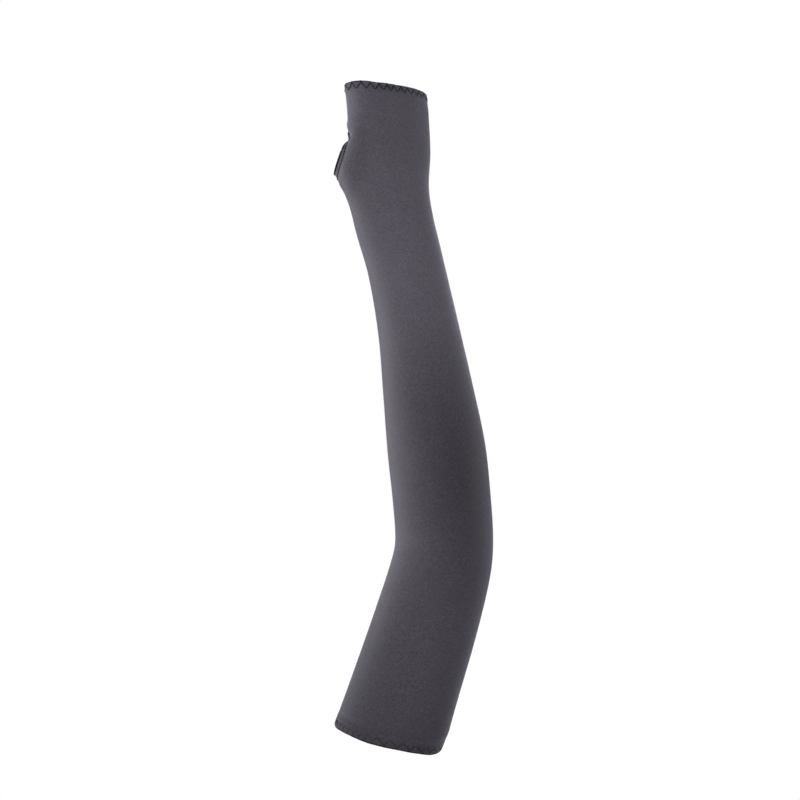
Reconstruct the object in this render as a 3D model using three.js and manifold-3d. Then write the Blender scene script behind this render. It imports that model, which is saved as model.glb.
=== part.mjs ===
// Sun protection arm sleeve for a right arm, in the form that it has when worn.
// A seamless knitted tube runs from the upper arm to the knuckles. Its two ends and its thumb hole
// are each finished with a folded hem. Millimetres, +Z up along the arm towards the hand, -Y towards
// the back of the hand, origin at the centre of the upper arm opening.
import * as THREE from "three";
import { LoftGeometry } from "three/addons/geometries/LoftGeometry.js";
import { mergeVertices } from "three/addons/utils/BufferGeometryUtils.js";
import Module from "manifold-3d";

const wasm = await Module();
wasm.setup();

// Rows of a table as objects with named columns.
function named(columns, rows) {
  return rows.map((row) => Object.fromEntries(columns.map((column, i) => [column, row[i]])));
}

// Cloth and sewing sizes
const knitWall = 1; // one layer of knit
const hemWall = 1.8; // the folded double layer
const sewingGap = 0.3; // between the tube and each hem
const armHemWidth = 8;
const handHemWidth = 6;
const thumbHemWidth = 3;

// The worn form: one row for each section across the arm, from the upper arm to the knuckles.
// z, x, y: the section's centre. tilt: degrees that its +X side is lowered. twist: degrees that its
// breadth is turned about the arm, +X side away from the back of the hand. arch: how far the section
// is raised at the angle archAt, and lowered opposite it. square: 2 is an ellipse, more is boxier.
const sections = named(
  ["at", "z", "x", "y", "tilt", "twist", "breadth", "depth", "arch", "archAt", "square"],
  [
    ["arm edge", 0, 0, 6, 10, 0, 80.5, 82, -4.2, 297, 2],
    ["upper arm", 33, 10.5, 4, 15, 0, 77.5, 79, -1, 297, 2],
    ["above elbow", 82.5, 26.2, 0, 16, 0, 74.5, 74, 0, 297, 2],
    ["below crook", 122.5, 37.2, -3, 9, 0, 71.5, 69, 0, 290, 2.1],
    ["elbow", 142.5, 39.6, -4, 0, 0, 70, 67, 0, 290, 2.1],
    ["above crook", 173, 37.8, -4, -5, 0, 70, 68, 0, 280, 2.1],
    ["forearm belly", 208.5, 34, -3, -7, 2, 70, 69, 0, 270, 2.1],
    ["forearm", 253, 27.5, -2, -10, 5, 64, 63, 0, 260, 2.1],
    ["mid forearm", 297.5, 20.5, -1, -12, 10, 57.5, 55, 0, 250, 2.1],
    ["low forearm", 341.5, 11.6, 0, -14, 16, 55, 48, 0, 240, 2.1],
    ["wrist", 377, 2.5, 0, -12.5, 22, 57.5, 44, 0, 230, 2.2],
    ["heel of hand", 397.5, 0, 0, -5, 28, 59.5, 40, 0, 225, 2.2],
    ["thumb root", 425.5, 0.4, 0, 0, 34, 64, 35, 1, 225, 2.3],
    ["palm", 454.5, -1.1, 1, 0, 38, 67.5, 31, 3, 225, 2.4],
    ["hand edge", 468.5, -2.2, 2, 0, 40, 70.5, 30, 4.5, 225, 2.4],
  ],
);
const armEdge = sections[0].z;
const handEdge = sections.at(-1).z;

// Low relief on the back of the arm: centre, spread and rise of each soft hollow or ridge
const reliefs = named(
  ["at", "x", "z", "spreadX", "spreadZ", "rise"],
  [
    ["index knuckle", -22, 454, 7, 22, 0.8],
    ["middle knuckle", -4, 457, 7, 20, 0.8],
    ["ring knuckle", 16, 452, 7, 20, 0.6],
    ["hollow by the thumb", -16, 415, 10, 13, -1.8],
    ["elbow hollow", 36, 159, 16, 26, -1.6],
    ["crook ridge", 14, 135, 20, 9, 1.2],
  ],
);

// Thumb hole: its place on the tube as a height and an angle round the section, its half sizes there,
// and the flat rim that the knit is drawn out to, which faces the way that the thumb points
const thumbHole = { z: 420, angle: 146, halfHeight: 15, halfAngle: 33 };
const thumbRimCentre = new THREE.Vector3(-34.6, -5, 422);
const thumbLift = 22.4; // degrees above level
const thumbSwing = 4; // degrees away from the back of the hand
const thumbFlareReach = 1.5; // reach of the drawn-out knit past the rim, in hole half sizes
const thumbRimRadius = 13.3;

// Fineness of the solids
const pointsAround = 36;
const pointsAroundThumb = 32;
const armRingSpacing = 12;
const handRingSpacing = 5;
const handRingsFrom = 374;
const foldSteps = 4;

const degrees = THREE.MathUtils.degToRad;
const thumbWay = new THREE.Vector3(
  -Math.cos(degrees(thumbLift)) * Math.cos(degrees(thumbSwing)),
  Math.cos(degrees(thumbLift)) * Math.sin(degrees(thumbSwing)),
  Math.sin(degrees(thumbLift)),
);

// A column of the sections table at height z, on a smooth curve through its rows.
function columnAt(name, z) {
  const last = sections.length - 1;
  const slope = (i) => {
    const a = sections[Math.max(i - 1, 0)];
    const b = sections[Math.min(i + 1, last)];
    return (b[name] - a[name]) / (b.z - a.z);
  };
  const above = sections.findIndex((row) => row.z >= z);
  const i = above < 0 ? last - 1 : Math.max(above - 1, 0);
  const [low, high] = [sections[i], sections[i + 1]];
  const span = high.z - low.z;
  const t = (z - low.z) / span;
  return (
    low[name] * (1 + 2 * t) * (1 - t) ** 2 +
    high[name] * t ** 2 * (3 - 2 * t) +
    slope(i) * span * t * (1 - t) ** 2 -
    slope(i + 1) * span * t ** 2 * (1 - t)
  );
}

// The tube's form before relief and thumb: the point at an angle (degrees) round the section at height z.
function armPoint(angle, z) {
  const round = (value) => Math.sign(value) * Math.abs(value) ** (2 / columnAt("square", z));
  const across = (columnAt("breadth", z) / 2) * round(Math.cos(degrees(angle)));
  const through = (columnAt("depth", z) / 2) * round(Math.sin(degrees(angle)));
  const raised = columnAt("arch", z) * Math.cos(degrees(angle - columnAt("archAt", z)));
  const point = new THREE.Vector3(across, through, raised);
  point.applyAxisAngle(new THREE.Vector3(0, 0, 1), degrees(columnAt("twist", z)));
  point.applyAxisAngle(new THREE.Vector3(0, 1, 0), degrees(columnAt("tilt", z)));
  return point.add(new THREE.Vector3(columnAt("x", z), columnAt("y", z), z));
}

// Draws the knit near the thumb hole out along the thumb's way, as far as the flat rim at the hole's edge.
function drawOutThumb(point, angle, z) {
  const { halfAngle, halfHeight } = thumbHole;
  const size = Math.hypot((angle - thumbHole.angle) / halfAngle, (z - thumbHole.z) / halfHeight);
  const share = THREE.MathUtils.clamp((1 + thumbFlareReach - size) / thumbFlareReach, 0, 1);
  const toRim = Math.max(thumbRimCentre.clone().sub(point).dot(thumbWay), 0);
  return point.addScaledVector(thumbWay, toRim * share ** 2);
}

// Total rise of the low relief at a point of the form, which fades out towards the palm side.
function reliefAt(point, angle) {
  const facing = Math.max(-Math.sin(degrees(angle)), 0);
  const riseOf = (relief) => {
    const away = Math.hypot((point.x - relief.x) / relief.spreadX, (point.z - relief.z) / relief.spreadZ);
    return relief.rise * Math.exp(-(away ** 2));
  };
  return facing * reliefs.reduce((sum, relief) => sum + riseOf(relief), 0);
}

// Outward direction of a surface (angle, z) => point, from its two tangents.
function outwardAt(surface, angle, z) {
  const stepAngle = 0.5;
  const stepZ = 0.25;
  const round = surface(angle + stepAngle, z).sub(surface(angle - stepAngle, z));
  const along = surface(angle, z + stepZ).sub(surface(angle, z - stepZ));
  return round.cross(along).normalize();
}

function outerPoint(angle, z) {
  const point = armPoint(angle, z);
  point.addScaledVector(outwardAt(armPoint, angle, z), reliefAt(point, angle));
  return drawOutThumb(point, angle, z);
}

// A point of the sleeve at a depth under its outer face.
function sleevePoint(angle, z, depth) {
  const point = outerPoint(angle, z);
  return depth ? point.addScaledVector(outwardAt(outerPoint, angle, z), -depth) : point;
}

const everyTurn = (count) => Array.from({ length: count }, (_, i) => (360 * i) / count);

// A closed ring of points round the arm.
function armRing(z, depth) {
  return everyTurn(pointsAround).map((angle) => sleevePoint(angle, z, depth));
}

// A closed ring of points round the thumb hole, at a distance out from its edge along the knit.
function thumbRing(outFromEdge, depth) {
  const size = 1 + outFromEdge / thumbRimRadius;
  return everyTurn(pointsAroundThumb).map((turn) =>
    sleevePoint(
      thumbHole.angle + thumbHole.halfAngle * size * Math.cos(degrees(turn)),
      thumbHole.z + thumbHole.halfHeight * size * Math.sin(degrees(turn)),
      depth,
    ),
  );
}

// A loft's points and faces alone, with its doubled points joined.
function bare(loft) {
  const geometry = new THREE.BufferGeometry();
  geometry.setAttribute("position", loft.getAttribute("position"));
  return mergeVertices(geometry.setIndex(loft.index));
}

// A ring-shaped solid: each ring of points is one corner of its cross-section.
function ringSolid(rings) {
  return bare(new LoftGeometry([...rings, rings[0]]));
}

// Corners of a folded hem's cross-section as [out from the sewn line, depth], rounded at the fold.
function hemCorners(width) {
  const radius = hemWall / 2;
  const fold = Array.from({ length: foldSteps + 1 }, (_, i) => {
    const turn = (Math.PI * i) / foldSteps;
    return [width - radius + radius * Math.sin(turn), radius - radius * Math.cos(turn)];
  });
  return [[0, 0], ...fold, [0, hemWall]];
}

function toManifold(geometry) {
  const mesh = { numProp: 3, vertProperties: geometry.attributes.position.array };
  return new wasm.Manifold(new wasm.Mesh({ ...mesh, triVerts: new Uint32Array(geometry.index.array) }));
}

function fromManifold(solid) {
  const { vertProperties, triVerts } = solid.getMesh();
  const geometry = new THREE.BufferGeometry();
  geometry.setAttribute("position", new THREE.BufferAttribute(vertProperties, 3));
  return geometry.setIndex(new THREE.BufferAttribute(triVerts, 1));
}

// Heights of the tube's rings, closer together over the hand.
function tubeHeights() {
  const from = armEdge + armHemWidth + sewingGap;
  const to = handEdge - handHemWidth - sewingGap;
  const steps = (a, b, spacing) => {
    const count = Math.ceil((b - a) / spacing);
    return Array.from({ length: count }, (_, i) => a + ((b - a) * i) / count);
  };
  return [...steps(from, handRingsFrom, armRingSpacing), ...steps(handRingsFrom, to, handRingSpacing), to];
}

// The knitted tube, with the opening that the thumb hem sits in.
function sleeveTube() {
  const heights = tubeHeights();
  const outer = heights.map((z) => armRing(z, 0));
  const inner = heights.map((z) => armRing(z, knitWall)).reverse();
  const opening = thumbHemWidth + sewingGap;
  const edge = thumbRing(opening, 0);
  const beyond = edge.map((point) => point.clone().addScaledVector(thumbWay, thumbRimRadius));
  const within = thumbRing(opening, 3 * knitWall);
  const plug = bare(new LoftGeometry([within, edge, beyond], { capStart: true, capEnd: true }));
  return fromManifold(toManifold(ringSolid([...outer, ...inner])).subtract(toManifold(plug)));
}

function armHem() {
  const sewnLine = armEdge + armHemWidth;
  return ringSolid(hemCorners(armHemWidth).map(([out, depth]) => armRing(sewnLine - out, depth)).reverse());
}

function handHem() {
  const sewnLine = handEdge - handHemWidth;
  return ringSolid(hemCorners(handHemWidth).map(([out, depth]) => armRing(sewnLine + out, depth)));
}

function thumbHem() {
  return ringSolid(hemCorners(thumbHemWidth).map(([out, depth]) => thumbRing(thumbHemWidth - out, depth)));
}

const charcoalKnit = new THREE.MeshStandardMaterial({ color: 0x4e4b53, roughness: 0.85, metalness: 0 });
const charcoalHem = new THREE.MeshStandardMaterial({ color: 0x47444c, roughness: 0.85, metalness: 0 });

function piece(name, geometry, material) {
  geometry.computeVertexNormals();
  const mesh = new THREE.Mesh(geometry, material);
  mesh.name = name;
  return mesh;
}

const sleeve = new THREE.Group();
sleeve.add(
  piece("sleeve_tube", sleeveTube(), charcoalKnit),
  piece("arm_hem", armHem(), charcoalHem),
  piece("hand_hem", handHem(), charcoalHem),
  piece("thumb_hem", thumbHem(), charcoalHem),
);

export default sleeve;
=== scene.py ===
import bisect
import math

import bmesh
import bpy
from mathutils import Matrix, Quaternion, Vector


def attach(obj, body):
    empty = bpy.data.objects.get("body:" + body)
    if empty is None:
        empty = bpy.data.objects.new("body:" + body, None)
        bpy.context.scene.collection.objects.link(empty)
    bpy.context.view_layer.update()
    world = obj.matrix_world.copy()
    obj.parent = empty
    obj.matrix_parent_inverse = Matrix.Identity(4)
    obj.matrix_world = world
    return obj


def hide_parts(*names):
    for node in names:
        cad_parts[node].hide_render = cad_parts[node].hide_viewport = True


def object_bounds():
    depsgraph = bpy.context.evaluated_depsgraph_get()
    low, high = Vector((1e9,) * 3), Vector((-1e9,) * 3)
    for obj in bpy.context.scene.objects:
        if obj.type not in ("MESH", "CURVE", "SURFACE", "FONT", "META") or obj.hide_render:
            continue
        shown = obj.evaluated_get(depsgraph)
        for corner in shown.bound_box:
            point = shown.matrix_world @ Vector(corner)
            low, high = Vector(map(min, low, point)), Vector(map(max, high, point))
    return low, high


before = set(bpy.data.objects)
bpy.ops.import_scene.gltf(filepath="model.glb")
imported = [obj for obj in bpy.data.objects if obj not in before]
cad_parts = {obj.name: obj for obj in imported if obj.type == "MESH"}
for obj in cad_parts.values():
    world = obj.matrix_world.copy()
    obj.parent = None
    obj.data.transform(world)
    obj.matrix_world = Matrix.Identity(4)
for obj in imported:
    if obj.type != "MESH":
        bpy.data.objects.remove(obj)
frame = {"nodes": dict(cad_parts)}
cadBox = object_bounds()
mm = 0.001
fullTurn = 2 * math.pi
print("frame loaded:", ", ".join(frame["nodes"]))


# the worn form of the sleeve, as in the solids: one row per section, in mm and degrees
wornForm = {
    "columns": ("z", "x", "y", "tilt", "twist", "breadth", "depth", "arch", "archAt", "square"),
    "rows": [
        (0, 0, 6, 10, 0, 80.5, 82, -4.2, 297, 2.7),  # edge of the arm hem
        (33, 10.5, 4, 15, 0, 77.5, 79, -1, 297, 2.8),
        (82.5, 26.2, 0, 16, 0, 74.5, 74, 0, 297, 2.7),
        (122.5, 37.2, -3, 9, 0, 71.5, 69, 0, 290, 2.35),
        (142.5, 39.6, -4, 0, 0, 70, 67, 0, 290, 2.1),  # the bend
        (173, 37.8, -4, -5, 0, 70, 68, 0, 280, 2.1),
        (208.5, 34, -3, -7, 2, 70, 69, 0, 270, 2.1),
        (253, 27.5, -2, -10, 5, 64, 63, 0, 260, 2.1),
        (297.5, 20.5, -1, -12, 10, 57.5, 55, 0, 250, 2.1),
        (341.5, 11.6, 0, -14, 16, 55, 48, 0, 240, 2.1),  # the narrowest
        (377, 2.5, 0, -12.5, 22, 57.5, 44, 0, 230, 2.2),
        (397.5, 0, 0, -5, 28, 59.5, 40, 0, 225, 2.2),
        (425.5, 0.4, 0, 0, 34, 64, 35, 1, 225, 2.3),  # thumb hole
        (454.5, -1.1, 1, 0, 38, 67.5, 31, 3, 225, 2.4),
        (468.5, -2.2, 2, 0, 40, 70.5, 30, 4.5, 225, 2.4),  # edge of the hand hem
    ],
    # soft hollows and ridges in front: x, z, spread x, spread z, rise
    "reliefs": [
        (-22, 454, 7, 22, 0.8),  # three ridges that run up to the hand hem
        (-4, 457, 7, 20, 0.8),
        (16, 452, 7, 20, 0.6),
        (-14, 404, 12, 12, -2.5),  # below the thumb hole
        (40, 158, 24, 30, -1.8),  # outside of the bend
        (14, 135, 20, 9, 1.2),  # fold from the inside of the bend
    ],
    "reliefReach": 3,  # in spreads
    "reliefFull": 0.5,  # full height where the knit faces the front by this sine
    "ease": 0.45,  # the knit lies this far off the solid
    "thumbAngle": 146, "thumbZ": 420, "thumbHalfAngle": 33, "thumbHalfHeight": 15,
    "thumbRim": (-34.6, -5, 422), "thumbRimRadius": 13.3,
    "thumbLift": 22.4, "thumbSwing": 4,  # the way that the rim points, degrees
    "thumbReach": 2.0, "thumbPull": 3,  # how far round the hole the knit is drawn out, and how steeply
    "thumbBack": (50, 24, 4.5),  # the rim draws back near its top: turn, spread, mm
}
hem = {
    "arm": 7.3, "hand": 6, "thumb": 3,  # turned-under widths, mm
    "armSteps": 5, "handSteps": 4, "thumbSteps": 3, "thumbAround": 96,
    "fold": 0.9, "foldSteps": 4, "foldRun": 2,  # radius of the folded edge, and the run that gives its way
    # the arm hem stands proud up to its stitches, then draws in: mm before and past them
    "armRaise": 1.0, "ridgeFrom": -1, "ridgeFull": 1.5, "ridgeFade": 1.25,
    "armGroove": 0.4, "grooveAt": 2.2, "grooveSpread": 1,
    "sidePress": 0.5,  # it is pressed flat at the sides, below this sine
    "handRaise": 0.15, "handFull": 1.4, "handFade": 0.6,
    "armSags": [(320, 20, 0.6), (226, 26, -1.4)],  # where the edge hangs lower: turn, spread, mm
    "handSags": [(260, 60, 1.1), (238, 12, 0.4)],
    "sagLength": 18,
    "armPinch": (345, 38, 2.0, 15),  # drawn in at the outer corner: turn, spread, mm, over this length
    "handPinch": (340, 30, 0.8, 14),
    # groove and puff round the thumb hole, and the fuller knit in front: rise, out from the stitches, spread
    "thumbReliefs": [(-0.35, 0, 0.7), (0.9, 3, 2.1)],
    "thumbFront": (2.6, 7, 5), "frontFrom": 0.2, "frontFull": 0.9,
    "thumbReliefReach": 21,
}
armEdge = wornForm["rows"][0][0]
handEdge = wornForm["rows"][-1][0]
lift, swing = math.radians(wornForm["thumbLift"]), math.radians(wornForm["thumbSwing"])
thumbWay = Vector((-math.cos(lift) * math.cos(swing), math.cos(lift) * math.sin(swing), math.sin(lift)))
thumbRim = Vector(wornForm["thumbRim"])
probeTurn, probeRise = 0.5, 0.25  # degrees and mm to each side, where a surface's slope is read
sectionsMade = {}


def sectionAt(z):
    key = round(z, 3)
    if key not in sectionsMade:
        rows = wornForm["rows"]
        last = len(rows) - 1
        i = min(max(sum(row[0] < z for row in rows) - 1, 0), last - 1)
        span = rows[i + 1][0] - rows[i][0]
        t = (z - rows[i][0]) / span

        def slope(k, c):
            a, b = rows[max(k - 1, 0)], rows[min(k + 1, last)]
            return (b[c] - a[c]) / (b[0] - a[0])

        sectionsMade[key] = {
            name: rows[i][c] * (1 + 2 * t) * (1 - t) ** 2 + rows[i + 1][c] * t * t * (3 - 2 * t)
            + slope(i, c) * span * t * (1 - t) ** 2 - slope(i + 1, c) * span * t * t * (1 - t)
            for c, name in enumerate(wornForm["columns"])
        }
    return sectionsMade[key]


def formPoint(angle, z):
    s = sectionAt(z)
    turn = math.radians(angle)
    c, n, power = math.cos(turn), math.sin(turn), 2 / s["square"]
    across = s["breadth"] / 2 * math.copysign(abs(c) ** power, c)
    through = s["depth"] / 2 * math.copysign(abs(n) ** power, n)
    up = s["arch"] * math.cos(math.radians(angle - s["archAt"]))
    twist, tilt = math.radians(s["twist"]), math.radians(s["tilt"])
    x = across * math.cos(twist) - through * math.sin(twist)
    y = across * math.sin(twist) + through * math.cos(twist)
    return Vector((
        s["x"] + x * math.cos(tilt) + up * math.sin(tilt),
        s["y"] + y,
        z - x * math.sin(tilt) + up * math.cos(tilt),
    ))


def outward(surface, angle, z):
    around = surface(angle + probeTurn, z) - surface(angle - probeTurn, z)
    along = surface(angle, z + probeRise) - surface(angle, z - probeRise)
    return around.cross(along).normalized()


def smooth(low, high, value):
    t = min(max((value - low) / (high - low), 0), 1)
    return t * t * (3 - 2 * t)


def bell(away, spread):
    return math.exp(-(away / spread) ** 2)


def awayFrom(angle, turn):
    return (angle - turn + 180) % 360 - 180


def walkedAlong(points):  # distance walked at each point
    walked = [0]
    for a, b in zip(points, points[1:]):
        walked.append(walked[-1] + (b - a).length)
    return walked


def thumbSize(angle, z):  # 1 at the edge of the thumb hole
    return math.hypot(
        (angle - wornForm["thumbAngle"]) / wornForm["thumbHalfAngle"],
        (z - wornForm["thumbZ"]) / wornForm["thumbHalfHeight"],
    )


def reliefAt(point, angle):
    facing = smooth(0, wornForm["reliefFull"], -math.sin(math.radians(angle)))
    if not facing:
        return 0
    rise = 0
    for x, z, spreadX, spreadZ, height in wornForm["reliefs"]:
        away = ((point.x - x) / spreadX) ** 2 + ((point.z - z) / spreadZ) ** 2
        if away < wornForm["reliefReach"] ** 2:
            rise += height * math.exp(-away)
    return facing * rise


def sewnRelief(angle, z):  # doubled cloth stands a little proud, and the stitch lines draw in
    fromArm, fromHand = z - armEdge, handEdge - z
    facing = smooth(0, hem["sidePress"], abs(math.sin(math.radians(angle))))
    ridge = smooth(hem["ridgeFrom"], hem["arm"] - hem["ridgeFull"], fromArm)
    ridge *= 1 - smooth(hem["arm"] - hem["ridgeFade"], hem["arm"] + hem["ridgeFade"], fromArm)
    groove = bell(fromArm - hem["arm"] - hem["grooveAt"], hem["grooveSpread"])
    rise = facing * (hem["armRaise"] * ridge - hem["armGroove"] * groove)
    fading = smooth(hem["hand"] - hem["handFull"], hem["hand"] + hem["handFade"], fromHand)
    rise += hem["handRaise"] * (1 - fading)
    for away, (turn, wide, pinch, length) in ((fromArm, hem["armPinch"]), (fromHand, hem["handPinch"])):
        rise -= pinch * bell(awayFrom(angle, turn), wide) * (1 - smooth(0, length, away))
    size = thumbSize(angle, z)
    past = (size - 1) * wornForm["thumbRimRadius"] - hem["thumb"]
    if past < hem["thumbReliefReach"]:
        for height, at, spread in hem["thumbReliefs"]:
            rise += height * bell(past - at, spread)
        height, at, spread = hem["thumbFront"]
        inFront = (angle - wornForm["thumbAngle"]) / wornForm["thumbHalfAngle"] / size
        rise += height * smooth(hem["frontFrom"], hem["frontFull"], inFront) * bell(past - at, spread)
    return rise


def sagAt(angle, z):
    drop = 0
    for away, sags in ((z - armEdge, hem["armSags"]), (handEdge - z, hem["handSags"])):
        if away < hem["sagLength"]:
            deep = sum(low * bell(awayFrom(angle, turn), wide) for turn, wide, low in sags)
            drop += (1 - smooth(0, hem["sagLength"], away)) * deep
    return drop


def knitFace(angle, z):
    point = formPoint(angle, z)
    rise = wornForm["ease"] + reliefAt(point, angle) + sewnRelief(angle, z)
    point += outward(formPoint, angle, z) * rise
    reach = wornForm["thumbReach"]
    share = min(max((1 + reach - thumbSize(angle, z)) / reach, 0), 1)
    if share:
        turn, wide, back = wornForm["thumbBack"]
        degreesPerMm = wornForm["thumbHalfAngle"] / wornForm["thumbHalfHeight"]
        across = (angle - wornForm["thumbAngle"]) / degreesPerMm
        here = math.degrees(math.atan2(z - wornForm["thumbZ"], across))
        gap = (thumbRim - point).dot(thumbWay) - back * bell(here - turn, wide)
        point += thumbWay * max(gap, 0) * share ** wornForm["thumbPull"]
    point.z -= sagAt(angle, z)
    return point


def knitPoint(angle, z, depth=0):
    point = knitFace(angle, z)
    if depth:
        point -= outward(knitFace, angle, z) * depth
    return point


def thumbParam(turn, out):  # a place round the thumb hole, out from its edge along the knit
    size = 1 + out / wornForm["thumbRimRadius"]
    return (
        wornForm["thumbAngle"] + wornForm["thumbHalfAngle"] * size * math.cos(turn),
        wornForm["thumbZ"] + wornForm["thumbHalfHeight"] * size * math.sin(turn),
    )


def foldArc(start, end):  # (in from the edge, depth) along the folded edge, degrees 0 at the outer face
    r, steps = hem["fold"], hem["foldSteps"]
    turns = [math.radians(start + (end - start) * i / steps) for i in range(steps + 1)]
    return [(r - r * math.sin(t), r - r * math.cos(t)) for t in turns]


def finishPiece(name, bm, material, nodes=()):
    mesh = bpy.data.meshes.new(name)
    for face in bm.faces:
        face.smooth = True
    bm.to_mesh(mesh)
    bm.free()
    piece = bpy.data.objects.new(name, mesh)
    bpy.context.collection.objects.link(piece)
    mesh.materials.append(material)
    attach(piece, "root")
    if nodes:
        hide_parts(*nodes)
    return piece


def addWall(piece, thickness):
    wall = piece.modifiers.new("wall", "SOLIDIFY")
    wall.thickness = thickness * mm
    wall.offset = -1
    wall.use_even_offset = False
    return piece


# shared shader groups

def newGroup(name, inputs, outputs):
    group = bpy.data.node_groups.new(name, "ShaderNodeTree")
    for side, sockets in (("INPUT", inputs), ("OUTPUT", outputs)):
        for label, kind in sockets.items():
            group.interface.new_socket(label, in_out=side, socket_type="NodeSocket" + kind)
    return group, group.nodes.new("NodeGroupInput"), group.nodes.new("NodeGroupOutput")


def mathNode(tree, operation, a, b=None, c=None, clamp=False):
    node = tree.nodes.new("ShaderNodeMath")
    node.operation = operation
    node.use_clamp = clamp
    for socket, value in zip(node.inputs, (a, b, c)):
        if value is None:
            continue
        if isinstance(value, (int, float)):
            socket.default_value = value
        else:
            tree.links.new(value, socket)
    return node.outputs[0]


loopShape = {"slant": 1.1, "yarn": 0.55, "floor": 0.45}  # lean of the legs, and height of yarn over the gaps


def knitLoopsGroup():  # rows of V-shaped loops on the piece's own map
    group, source, target = newGroup(
        "knitLoops",
        {"Map": "Vector", "Wales": "Float", "Courses": "Float"},
        {"Height": "Float", "Gap": "Float"},
    )
    split = group.nodes.new("ShaderNodeSeparateXYZ")
    group.links.new(source.outputs["Map"], split.inputs[0])
    wale = mathNode(group, "MULTIPLY", split.outputs[0], source.outputs["Wales"])
    course = mathNode(group, "MULTIPLY", split.outputs[1], source.outputs["Courses"])
    side = mathNode(group, "ABSOLUTE", mathNode(group, "SUBTRACT", mathNode(group, "FRACT", wale), 0.5))
    slant = mathNode(group, "SUBTRACT", course, mathNode(group, "MULTIPLY", side, loopShape["slant"]))
    wave = mathNode(group, "SINE", mathNode(group, "MULTIPLY", slant, fullTurn))
    yarn = mathNode(group, "MULTIPLY_ADD", wave, 0.5, 0.5)  # from 0 to 1
    leg = mathNode(group, "SINE", mathNode(group, "MULTIPLY", side, fullTurn))  # round, each side of the wale
    along = mathNode(group, "MULTIPLY_ADD", yarn, loopShape["yarn"], loopShape["floor"])
    height = mathNode(group, "MULTIPLY", along, leg)
    gap = mathNode(group, "SUBTRACT", 1, height, clamp=True)
    group.links.new(height, target.inputs["Height"])
    group.links.new(gap, target.inputs["Gap"])
    return group


yarnNoise = {"Blotch": (38, 3), "Grain": (900, 2)}  # scale and detail of each input's noise


def yarnToneGroup():  # soft uneven dye and fine fibre grain
    group, source, target = newGroup(
        "yarnTone",
        {"Place": "Vector", "Base": "Color", "Blotch": "Float", "Grain": "Float"},
        {"Color": "Color", "Grain": "Float"},
    )
    tone = 1
    for label, (scale, detail) in yarnNoise.items():
        noise = group.nodes.new("ShaderNodeTexNoise")
        noise.inputs["Scale"].default_value = scale
        noise.inputs["Detail"].default_value = detail
        group.links.new(source.outputs["Place"], noise.inputs["Vector"])
        off = mathNode(group, "SUBTRACT", noise.outputs[0], 0.5)  # to both sides of the middle
        tone = mathNode(group, "ADD", tone, mathNode(group, "MULTIPLY", off, source.outputs[label]))
    mix = group.nodes.new("ShaderNodeVectorMath")
    mix.operation = "SCALE"
    group.links.new(source.outputs["Base"], mix.inputs[0])
    group.links.new(tone, mix.inputs["Scale"])
    group.links.new(mix.outputs[0], target.inputs["Color"])
    group.links.new(noise.outputs[0], target.inputs["Grain"])  # the last noise is the grain
    return group


def placeGroup(tree, group, **values):
    node = tree.nodes.new("ShaderNodeGroup")
    node.node_tree = group
    for label, value in values.items():
        if hasattr(value, "is_output"):
            tree.links.new(value, node.inputs[label])
        else:
            node.inputs[label].default_value = value
    return node


knitLoops = knitLoopsGroup()
yarnTone = yarnToneGroup()
knitLook = {
    "base": (0.0515, 0.0458, 0.0605, 1), "blotch": 0.16, "grain": 1.85,
    "roughness": 0.62, "specular": 0.35,
    "sheen": 0.55, "sheenRoughness": 0.42, "sheenTint": (0.855, 0.815, 1, 1),
    "wales": 380, "courses": 820,
    "gapShade": 0.35, "gapTint": (0.35, 0.35, 0.38, 1), "gapRoughness": 0.2,  # painted shade and more roughness between the loops
    "bump": 0.35, "bumpHeight": 0.15, "grainBump": 0.3,
}
# the turned-under layers inside the sleeve: the same knit, darker as painted shade, with a stronger bump
shadedTurnedLook = {**knitLook, "base": (0.046, 0.040, 0.053, 1), "bump": 0.45}
threadLook = {
    "base": (0.0065, 0.006, 0.008, 1), "blotch": 0.2, "grain": 0.6,
    "roughness": 0.75, "specular": 0.12, "sheen": 0.03,
    "bump": 0.3, "bumpHeight": 0.05,
}


def startMaterial(name):
    material = bpy.data.materials.new(name)
    material.use_nodes = True
    tree = material.node_tree
    return material, tree, tree.nodes["Principled BSDF"]


def yarnMaterial(name, look):
    material, tree, skin = startMaterial(name)
    skin.inputs["Specular IOR Level"].default_value = look["specular"]
    skin.inputs["Sheen Weight"].default_value = look["sheen"]
    skin.inputs["Roughness"].default_value = look["roughness"]
    place = tree.nodes.new("ShaderNodeTexCoord").outputs["Object"]
    tone = placeGroup(
        tree, yarnTone, Place=place, Base=look["base"], Blotch=look["blotch"], Grain=look["grain"])
    return material, tree, skin, tone


def addBump(tree, skin, look, height):
    bump = tree.nodes.new("ShaderNodeBump")
    bump.inputs["Strength"].default_value = look["bump"]
    bump.inputs["Distance"].default_value = look["bumpHeight"] * mm
    tree.links.new(height, bump.inputs["Height"])
    tree.links.new(bump.outputs[0], skin.inputs["Normal"])


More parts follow.
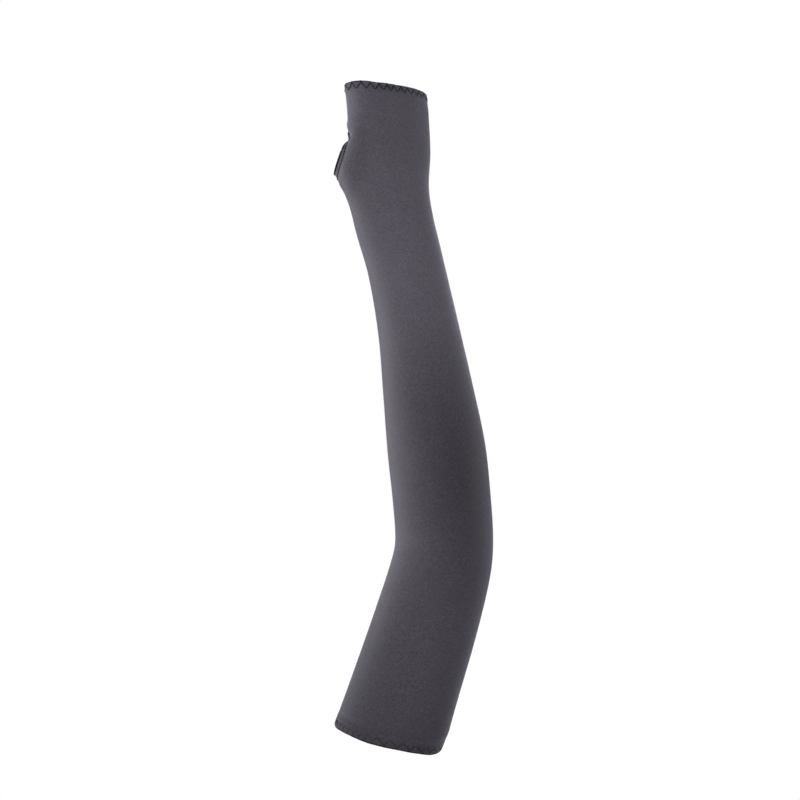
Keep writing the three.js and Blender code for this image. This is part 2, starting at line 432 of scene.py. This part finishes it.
def knitMaterial(name, look):
    material, tree, skin, tone = yarnMaterial(name, look)
    skin.inputs["Sheen Roughness"].default_value = look["sheenRoughness"]
    skin.inputs["Sheen Tint"].default_value = look["sheenTint"]
    knitMap = tree.nodes.new("ShaderNodeUVMap")
    knitMap.uv_map = "knitMap"
    loops = placeGroup(tree, knitLoops, Map=knitMap.outputs[0], Wales=look["wales"], Courses=look["courses"])
    gap, height = loops.outputs["Gap"], loops.outputs["Height"]
    # painted shade: the base colour is darkened in the gaps between the loops
    dark = tree.nodes.new("ShaderNodeMix")
    dark.data_type = "RGBA"
    dark.blend_type = "MULTIPLY"
    tree.links.new(mathNode(tree, "MULTIPLY", gap, look["gapShade"]), dark.inputs["Factor"])
    tree.links.new(tone.outputs["Color"], dark.inputs["A"])
    dark.inputs["B"].default_value = look["gapTint"]
    tree.links.new(dark.outputs["Result"], skin.inputs["Base Color"])
    rough = mathNode(tree, "MULTIPLY_ADD", gap, look["gapRoughness"], look["roughness"])
    tree.links.new(rough, skin.inputs["Roughness"])
    grainy = mathNode(tree, "MULTIPLY_ADD", tone.outputs["Grain"], look["grainBump"], height)
    addBump(tree, skin, look, grainy)
    return material


def threadMaterial(name, look):
    material, tree, skin, tone = yarnMaterial(name, look)
    tree.links.new(tone.outputs["Color"], skin.inputs["Base Color"])
    addBump(tree, skin, look, tone.outputs["Grain"])
    return material


charcoalKnit = knitMaterial("charcoalKnit", knitLook)
shadedTurnedKnit = knitMaterial("shadedTurnedKnit", shadedTurnedLook)
blackThread = threadMaterial("blackThread", threadLook)
print("knit and thread materials ready")


# knitted pieces: a grid is laid on the form by its angle round the sleeve and its height

tubeMake = {
    "around": 168, "spacing": 2.0, "wall": 0.8,
    "fineArm": 12, "fineHand": 8, "fineSpacing": 0.8,  # closer rings along the hems
    "holeCut": 1.5, "holeRings": (5.2, 4.2, 3.5, 3.0, 2.5, 1.9, 1.3),
    # which knit belongs to the hole, in sizes of it: the cut's edge, the knit that eases, the even ring
    "edgeWithin": 2.4, "easeWithin": 2.6, "ringWithin": 1.7,
    "easePasses": 12,
    "weld": 1e-7,  # metres
}
mapStep = 8  # mm between the sections that the map is measured on
roundTables = {}


def knitGrid(around, stations):
    bm = bmesh.new()
    bm.loops.layers.uv.new("knitMap")
    bmesh.ops.create_grid(bm, x_segments=around, y_segments=len(stations) - 1, size=0.5)
    layers = [bm.verts.layers.float.new(label) for label in ("angle", "z", "depth")]
    for vert in bm.verts:
        z, depth = stations[round((vert.co.y + 0.5) * (len(stations) - 1))]
        for layer, value in zip(layers, (360 * (vert.co.x + 0.5), z, depth)):
            vert[layer] = value
    return bm, layers


def roundTable(k):  # share of the way round a section, at each degree
    if k not in roundTables:
        z = min(k * mapStep, handEdge)
        walked = walkedAlong([formPoint(turn, z) for turn in range(361)])
        roundTables[k] = [way / walked[-1] for way in walked]
    return roundTables[k]


def shareRound(angle, z):  # keeps the wales evenly spaced on the squarer sections
    k, i = math.floor(max(z, 0) / mapStep), min(math.floor(angle), 359)
    low, high = (t[i] + (t[i + 1] - t[i]) * (angle - i) for t in (roundTable(k), roundTable(k + 1)))
    return low + (high - low) * (z / mapStep - k)


def layOnForm(bm, layers):
    angle, z, depth = layers
    for vert in bm.verts:
        vert.co = knitPoint(vert[angle], vert[z], vert[depth]) * mm
    knitMap = bm.loops.layers.uv["knitMap"]
    for face in bm.faces:
        for loop in face.loops:
            loop[knitMap].uv = (shareRound(loop.vert[angle], loop.vert[z]), loop.vert[z] / handEdge)
    bmesh.ops.remove_doubles(bm, verts=bm.verts, dist=tubeMake["weld"])


def evenly(low, high, spacing):  # heights after low, up to high
    count = round((high - low) / spacing)
    return [low + (high - low) * i / count for i in range(1, count + 1)]


def openThumbHole(bm, layers):
    angle, z, depth = layers
    cut = tubeMake["holeCut"]

    def size(vert):
        return thumbSize(vert[angle], vert[z])

    def polar(vert):
        across = (vert[angle] - wornForm["thumbAngle"]) / wornForm["thumbHalfAngle"]
        return math.atan2((vert[z] - wornForm["thumbZ"]) / wornForm["thumbHalfHeight"], across)

    inHole = [f for f in bm.faces if any(size(v) < cut for v in f.verts)]
    bmesh.ops.delete(bm, geom=inHole, context="FACES")
    rim = [v for v in bm.verts if v.is_boundary and size(v) < tubeMake["edgeWithin"]]
    rim.sort(key=polar)
    start = polar(rim[0])
    for k, vert in enumerate(rim):  # the stepped edge becomes an even ring
        turn = fullTurn * k / len(rim) + start
        vert[angle], vert[z] = thumbParam(turn, (cut - 1) * wornForm["thumbRimRadius"])
    near = [v for v in bm.verts if not v.is_boundary and size(v) < tubeMake["easeWithin"]]
    for _ in range(tubeMake["easePasses"]):  # and the knit next to it eases to fit
        eased = []
        for vert in near:
            others = [e.other_vert(vert) for e in vert.link_edges]
            eased.append([sum(v[layer] for v in others) / len(others) for layer in (angle, z)])
        for vert, place in zip(near, eased):
            vert[angle], vert[z] = place
    edges = [e for e in bm.edges if e.is_boundary and all(size(v) < tubeMake["ringWithin"] for v in e.verts)]
    for out, under in [(out, 0) for out in tubeMake["holeRings"]] + foldArc(0, 90):
        made = bmesh.ops.extrude_edge_only(bm, edges=edges)["geom"]
        for vert in (g for g in made if isinstance(g, bmesh.types.BMVert)):
            vert[angle], vert[z] = thumbParam(polar(vert), out)
            vert[depth] = under
        edges = [g for g in made if isinstance(g, bmesh.types.BMEdge) and g.is_boundary]


def makeTube():
    first, last = armEdge + hem["fold"], handEdge - hem["fold"]
    low, high = first + tubeMake["fineArm"], last - tubeMake["fineHand"]
    heights = evenly(first, low, tubeMake["fineSpacing"]) + evenly(low, high, tubeMake["spacing"])
    heights += evenly(high, last, tubeMake["fineSpacing"])[:-1]
    stations = [(armEdge + away, depth) for away, depth in foldArc(90, 0)]
    stations += [(height, 0) for height in heights]
    stations += [(handEdge - away, depth) for away, depth in foldArc(0, 90)]
    bm, layers = knitGrid(tubeMake["around"], stations)
    openThumbHole(bm, layers)
    layOnForm(bm, layers)
    bmesh.ops.recalc_face_normals(bm, faces=bm.faces)
    return addWall(finishPiece("knitTube", bm, charcoalKnit, ["sleeve_tube"]), tubeMake["wall"])


def makeHem(name, node, inside):
    bm, layers = knitGrid(tubeMake["around"], inside)
    layOnForm(bm, layers)
    return addWall(finishPiece(name, bm, shadedTurnedKnit, [node]), tubeMake["wall"])


def insideOf(width, steps):  # the turned-under layer, from the fold's edge back to its raw edge
    fold = hem["fold"]
    return foldArc(90, 180) + [(fold + (width - fold) * i / steps, 2 * fold) for i in range(1, steps + 1)]


def makeThumbHem():
    bm, layers = knitGrid(hem["thumbAround"], insideOf(hem["thumb"], hem["thumbSteps"]))
    angle, z, depth = layers
    for vert in bm.verts:
        vert[angle], vert[z] = thumbParam(math.radians(vert[angle]), vert[z])
    layOnForm(bm, layers)
    bmesh.ops.recalc_face_normals(bm, faces=bm.faces)
    return addWall(finishPiece("thumbHem", bm, shadedTurnedKnit, ["thumb_hem"]), tubeMake["wall"])


knitTube = makeTube()
print("tube laid:", len(knitTube.data.polygons), "faces")
armInside = [(armEdge + away, depth) for away, depth in reversed(insideOf(hem["arm"], hem["armSteps"]))]
handInside = [(handEdge - away, depth) for away, depth in insideOf(hem["hand"], hem["handSteps"])]
armHem = makeHem("armHem", "arm_hem", armInside)
handHem = makeHem("handHem", "hand_hem", handInside)
thumbHem = makeThumbHem()
print("hems turned under")


# sewing threads: each strand is a row of rings in one long grid, twisted like two-ply yarn

threadMake = {
    "sides": 6, "twist": 1.5, "ply": 0.2,  # mm to a full twist, and how far the plies stand out
    "step": 0.4, "fewest": 4,  # mm between rings
    "dash": (0.06, 0.9),  # from and to, where a leg shows in dashes
    "dive": 4, "proud": 0.25, "sink": 1.35,  # in its first and last quarter a strand goes into the cloth
    "weld": 2e-8,  # metres
}


def threadPiece(name, strands):
    rings, starts = [], set()
    for points, radius in strands:
        last = len(points) - 1
        ways = [(points[min(i + 1, last)] - points[max(i - 1, 0)]).normalized() for i in range(last + 1)]
        side = ways[0].orthogonal().normalized()
        walked = walkedAlong(points)
        starts.add(len(rings))
        for i, point in enumerate(points):
            if i:
                side = ways[i - 1].rotation_difference(ways[i]) @ side
            rings.append((point, ways[i], side.copy(), radius if 0 < i < last else 0, walked[i]))
    bm = bmesh.new()
    bm.loops.layers.uv.new("threadMap")
    bmesh.ops.create_grid(
        bm, x_segments=threadMake["sides"], y_segments=len(rings) - 1, size=0.5, calc_uvs=True)
    ringOf = bm.verts.layers.int.new("ring")
    for vert in bm.verts:
        vert[ringOf] = round((vert.co.y + 0.5) * (len(rings) - 1))
        point, way, side, radius, walked = rings[vert[ringOf]]
        turn = -fullTurn * (vert.co.x + 0.5)
        ply = 1 + threadMake["ply"] * math.cos(2 * (turn - fullTurn / threadMake["twist"] * walked))
        vert.co = (point + Quaternion(way, turn) @ side * radius * ply) * mm
    between = [f for f in bm.faces if max(v[ringOf] for v in f.verts) in starts]
    bmesh.ops.delete(bm, geom=between, context="FACES")
    bmesh.ops.remove_doubles(bm, verts=bm.verts, dist=threadMake["weld"])
    bmesh.ops.recalc_face_normals(bm, faces=bm.faces)
    return finishPiece(name, bm, blackThread)


def roundLoop(pointAt, count=720):  # once round an edge: the turn at a distance, and the full length
    turns = [360 * i / count for i in range(count + 1)]
    walked = walkedAlong([pointAt(turn) for turn in turns])

    def turnAt(distance):
        distance %= walked[-1]
        low = min(bisect.bisect_right(walked, distance), count) - 1
        share = (distance - walked[low]) / (walked[low + 1] - walked[low])
        return turns[low] + share * (turns[low + 1] - turns[low])

    return turnAt, walked[-1]


def strandOver(place, start, end, radius, bow, dashes=1):  # thread on the cloth from hole to hole
    strands = []
    length = (place(*end, 0) - place(*start, 0)).length
    dashFrom, dashTo = threadMake["dash"] if dashes > 1 else (0, 1)
    for d in range(dashes):
        low, high = (d + dashFrom) / dashes, (d + dashTo) / dashes
        count = max(threadMake["fewest"], round(length * (high - low) / threadMake["step"]))
        points = []
        for i in range(count + 1):
            t = low + (high - low) * i / count
            at = [a + (b - a) * t for a, b in zip(start, end)]
            sunk = 1 - min(1, threadMake["dive"] * min(i / count, 1 - i / count)) ** 2
            above = radius * (threadMake["proud"] - threadMake["sink"] * sunk)
            points.append(place(*at, bow * math.sin(math.pi * t) + above))
        strands.append((points, radius))
    return strands


edgeMake = {
    "swing": 42, "lift": 0.06, "wave": 0.08,  # degrees to each side on the fold, mm off it
    "rings": 9, "coreRings": 5,  # for each wave
}


def edgeStrands(onFold, total, sewing):  # two strands laid round each other on the folded edge
    strands = []
    waves = round(total / sewing["edgePitch"])
    count = waves * edgeMake["rings"]
    for side in (0, math.pi):
        points = []
        for i in range(count + 1):
            t = fullTurn * waves * i / count + side
            degrees = sewing["edgeTurn"] + edgeMake["swing"] * math.cos(t)
            above = edgeMake["lift"] + edgeMake["wave"] * math.sin(t)
            points.append(onFold(total * i / count, degrees, above))
        strands.append((points, sewing["edge"]))
    count = waves * edgeMake["coreRings"]
    for degrees in sewing["coreTurns"]:  # fills between them
        strands.append(([onFold(total * i / count, degrees, 0) for i in range(count + 1)], sewing["core"]))
    return strands


def foldPlace(turnAt, paramAt):  # a place on the folded edge, by degrees round the fold and height off it
    def onFold(distance, degrees, above):
        turn = turnAt(distance)
        middle = knitPoint(*paramAt(turn, hem["fold"]), hem["fold"])
        out = outward(knitFace, *paramAt(turn, hem["fold"]))
        along = (knitFace(*paramAt(turn, 0)) - knitFace(*paramAt(turn, hem["foldRun"]))).normalized()
        a = math.radians(degrees)
        return middle + (out * math.cos(a) + along * math.sin(a)) * (hem["fold"] + above)

    return onFold


stitchMake = {
    "bow": 0.06, "firstLeg": 0.9, "dashedLeg": 1.15, "secondLeg": 1.1,  # legs in shares of the thread
    "wrapFrom": (1, 0.6, 0.25), "wrapProud": 0.3,  # the wrap comes off the cloth, in mm from the foot
    "wrapTurns": (45, 75, 105, 135, 165), "wrapLift": 0.16,  # and goes over the edge
}


def sewEdge(name, edge, inwards, sewing, stitches):
    turnAt, total = roundLoop(lambda turn: knitPoint(turn, edge))
    onFold = foldPlace(turnAt, lambda turn, away: (turn, edge + inwards * away))

    def onCloth(distance, away, above):
        return knitPoint(turnAt(distance), edge + inwards * away, -above)

    make = stitchMake
    strands = edgeStrands(onFold, total, sewing)
    for start, pitch, foot, bite, leg, dashes, slack in stitches(total):
        point = (start + pitch * sewing["pointAt"], bite)
        first = leg * (make["dashedLeg"] if dashes > 1 else make["firstLeg"])
        second = leg * make["secondLeg"] * slack
        strands += strandOver(onCloth, (start, foot), point, first, make["bow"], dashes)
        strands += strandOver(onCloth, point, (start + pitch, foot), second, make["bow"])
        over = [onCloth(start, foot + away, leg * make["wrapProud"]) for away in make["wrapFrom"]]
        over += [onFold(start, degrees, make["wrapLift"]) for degrees in make["wrapTurns"]]
        strands.append((over, leg * sewing["wrap"]))
    return threadPiece(name, strands)


handSewing = {
    "stitches": 26, "first": 0.4765, "foot": 0.7, "bite": 5.3, "pointAt": 0.5, "leg": 0.4, "wrap": 1.1,
    "edge": 0.26, "core": 0.34, "coreTurns": (74, 102), "edgeTurn": 80, "edgePitch": 3.3,
    "wander": 1.9, "wanderAt": 4, "wanderOver": 5,  # the stitches run on a little, widest at this one
    "dashed": (0, 1, 2, 11, 17), "dashes": 3,  # left legs that sink into the knit
    "tightFrom": 5, "tightTo": 11, "tight": 0.45,  # later stitches are drawn tighter and look finer
}


def handStitches(total):
    s, count = handSewing, handSewing["stitches"]
    starts = [total * (s["first"] + k / count) + s["wander"] * bell(k - s["wanderAt"], s["wanderOver"])
              for k in range(count)]
    ends = starts[1:] + [starts[0] + total]
    stitches = []
    for k, (start, end) in enumerate(zip(starts, ends)):
        leg = s["leg"] * (1 - s["tight"] * smooth(s["tightFrom"], s["tightTo"], k))
        dashes = s["dashes"] if k in s["dashed"] else 1
        stitches.append((start, end - start, s["foot"], s["bite"], leg, dashes, 1))
    return stitches


armSewing = {
    "foot": 1.3, "bite": 5.5, "pointAt": 0.35, "wrap": 0.8,
    "edge": 0.27, "core": 0.38, "coreTurns": (56, 86), "edgeTurn": 62, "edgePitch": 3.6,
    # share of the way round, from and to, number of stitches, thread: the close ones overlap the start
    "runs": [
        (0.7059, 0.8436, 4, 0.24), (0.8436, 0.9251, 3, 0.16), (0.9251, 1.4401, 16, 0.18),
        (1.4401, 1.5045, 2, 0.1), (1.5045, 1.5411, 2, 0.1), (1.5411, 1.7059, 9, 0.2),
    ],
    # stitches closer than this, in mm, are smaller: their foot, bite, uneven bite and second leg
    "close": 6, "closeFoot": 1.6, "closeBite": 0.9, "closeUneven": 0.08, "closeSlack": 0.4,
}


def armStitches(total):
    s = armSewing
    stitches = []
    for low, high, count, leg in s["runs"]:
        pitch = (high - low) * total / count
        close = pitch < s["close"]
        foot = s["foot"] * (s["closeFoot"] if close else 1)
        slack = s["closeSlack"] if close else 1
        for k in range(count):
            bite = s["bite"] * (s["closeBite"] + s["closeUneven"] * (k % 2) if close else 1)
            stitches.append((low * total + k * pitch, pitch, foot, bite, leg, 1, slack))
    return stitches


thumbSewing = {
    "pitch": 1.9, "line": 2.95, "leg": 0.42, "legFrom": 0.08, "legTo": 0.96, "bow": 0.08,
    "edge": 0.5, "core": 0.78, "coreTurns": (38,), "edgeTurn": 44, "edgePitch": 2.7,
    # ends tied off at the top of the hole: a coil round the fold and a strand over the hem
    "tieOff": 54, "coil": 0.6, "coilRings": 8, "coilFrom": 20, "coilStep": 22, "coilLift": 0.5,
    "over": 0.7, "overOuts": (1.2, 1.8, 2.4, 3.0, 3.6, 4.2), "overLift": 0.2,
}


def sewThumb():
    s = thumbSewing

    def around(turn, away):
        return thumbParam(math.radians(turn), away)

    turnAt, total = roundLoop(lambda turn: knitPoint(*around(turn, 0)))

    def onCloth(distance, out, above):
        return knitPoint(*around(turnAt(distance), out), -above)

    strands = edgeStrands(foldPlace(turnAt, around), total, s)
    count = round(total / s["pitch"])
    step = total / count
    for k in range(count):
        start, end = ((k + s["legFrom"]) * step, s["line"]), ((k + s["legTo"]) * step, s["line"])
        strands += strandOver(onCloth, start, end, s["leg"], s["bow"])
    onTurn = foldPlace(lambda turn: turn, around)
    coil = [onTurn(s["tieOff"] + i, s["coilFrom"] + s["coilStep"] * i, s["coilLift"])
            for i in range(s["coilRings"])]
    over = [knitPoint(*around(s["tieOff"], out), -s["overLift"]) for out in s["overOuts"]]
    strands += [(coil, s["coil"]), (over, s["over"])]
    return threadPiece("thumbThreads", strands)


handThreads = sewEdge("handThreads", handEdge, -1, handSewing, handStitches)
armThreads = sewEdge("armThreads", armEdge, 1, armSewing, armStitches)
thumbThreads = sewThumb()
print("threads sewn:", sum(len(p.data.polygons) for p in (handThreads, armThreads, thumbThreads)), "faces")


# floor, light and camera

studio = {
    "floorDrop": 0.32, "floorRadius": 1.3, "floorSegments": 96,
    "floorColor": (0.82, 0.82, 0.82, 1), "floorRoughness": 0.9, "floorGlow": 0.5,
    "white": (1, 1, 1, 1), "surround": 0.12,
    # soft boxes with a grid: turn round the sleeve from the front to the left, rise, height of its aim,
    # distance, size, spread, watts
    "lights": {
        "topBox": (0, 50, 0.24, 1.2, 0.6, 120, 1.03),
        "leftBox": (112, 0, 0.30, 0.9, 0.4, 60, 0.80),
        "rightBox": (-105, 0, 0.25, 1.0, 0.5, 60, 0.62),
        "handHemBox": (50, 0, 0.505, 0.6, 0.15, 20, 0.056),
        "handFrontBox": (20, 0, 0.505, 0.6, 0.15, 20, 0.055),
        "narrowBox": (-20, 0, 0.345, 0.6, 0.15, 25, 0.069),
        "middleBox": (45, 0, 0.34, 0.6, 0.15, 25, 0.071),
        "bendBox": (45, 0, 0.165, 0.6, 0.15, 25, 0.077),
        "lowFrontBox": (-20, 0, 0.06, 0.6, 0.15, 25, 0.034),
        "armHemBox": (45, 0, 0.0, 0.6, 0.15, 25, 0.043),
        "backBox": (180, 0, 0.25, 1.2, 0.5, 120, 0.8),
    },
    "aimX": 0.02,
    "cameraPlace": (7.65 * mm, -1.8, 244 * mm), "frameWidth": 0.58, "sensor": 36,
}


def makeFloor():
    bm = bmesh.new()
    bmesh.ops.create_circle(bm, cap_ends=True, segments=studio["floorSegments"], radius=studio["floorRadius"])
    bmesh.ops.translate(bm, verts=bm.verts, vec=(0, 0, cadBox[0][2] - studio["floorDrop"]))
    mesh = bpy.data.meshes.new("paleFloor")
    bm.to_mesh(mesh)
    bm.free()
    floor = bpy.data.objects.new("paleFloor", mesh)
    bpy.context.collection.objects.link(floor)
    material, tree, skin = startMaterial("paleFloor")
    skin.inputs["Roughness"].default_value = studio["floorRoughness"]
    skin.inputs["Base Color"].default_value = studio["floorColor"]
    skin.inputs["Emission Color"].default_value = studio["white"]
    seen = tree.nodes.new("ShaderNodeLightPath")  # pale to look at, without lighting the sleeve from below
    glow = mathNode(tree, "MULTIPLY", seen.outputs["Is Camera Ray"], studio["floorGlow"])
    tree.links.new(glow, skin.inputs["Emission Strength"])
    mesh.materials.append(material)


def addLight(name, turn, rise, height, distance, size, spread, power):
    data = bpy.data.lights.new(name, "AREA")
    data.shape = "DISK"
    data.size = size
    data.spread = math.radians(spread)
    data.energy = power
    aim = Vector((studio["aimX"], 0, height))
    turn, rise = math.radians(turn), math.radians(rise)
    way = Vector((-math.sin(turn) * math.cos(rise), -math.cos(turn) * math.cos(rise), math.sin(rise)))
    light = bpy.data.objects.new(name, data)
    light.location = aim + way * distance
    light.rotation_euler = (-way).to_track_quat("-Z", "Y").to_euler()
    light.visible_camera = False
    bpy.context.collection.objects.link(light)


def makeSurround():  # white behind the sleeve, dimmer as a light
    world = bpy.data.worlds.new("studio")
    world.use_nodes = True
    tree = world.node_tree
    soft = tree.nodes["Background"]
    soft.inputs["Color"].default_value = studio["white"]
    soft.inputs["Strength"].default_value = studio["surround"]
    white = tree.nodes.new("ShaderNodeBackground")
    white.inputs["Color"].default_value = studio["white"]
    seen = tree.nodes.new("ShaderNodeLightPath")
    mix = tree.nodes.new("ShaderNodeMixShader")
    tree.links.new(seen.outputs["Is Camera Ray"], mix.inputs[0])
    tree.links.new(soft.outputs[0], mix.inputs[1])
    tree.links.new(white.outputs[0], mix.inputs[2])
    tree.links.new(mix.outputs[0], tree.nodes["World Output"].inputs["Surface"])
    bpy.context.scene.world = world


makeFloor()
makeSurround()
for name, values in studio["lights"].items():
    addLight(name, *values)
bpy.context.scene.view_settings.view_transform = "Standard"

camera = bpy.data.objects.new("camera", bpy.data.cameras.new("camera"))
camera.data.sensor_width = studio["sensor"]
camera.data.lens = studio["sensor"] * -studio["cameraPlace"][1] / studio["frameWidth"]
camera.location = studio["cameraPlace"]
camera.rotation_euler = (math.radians(90), 0, 0)
bpy.context.collection.objects.link(camera)
bpy.context.scene.camera = camera
print("studio set")
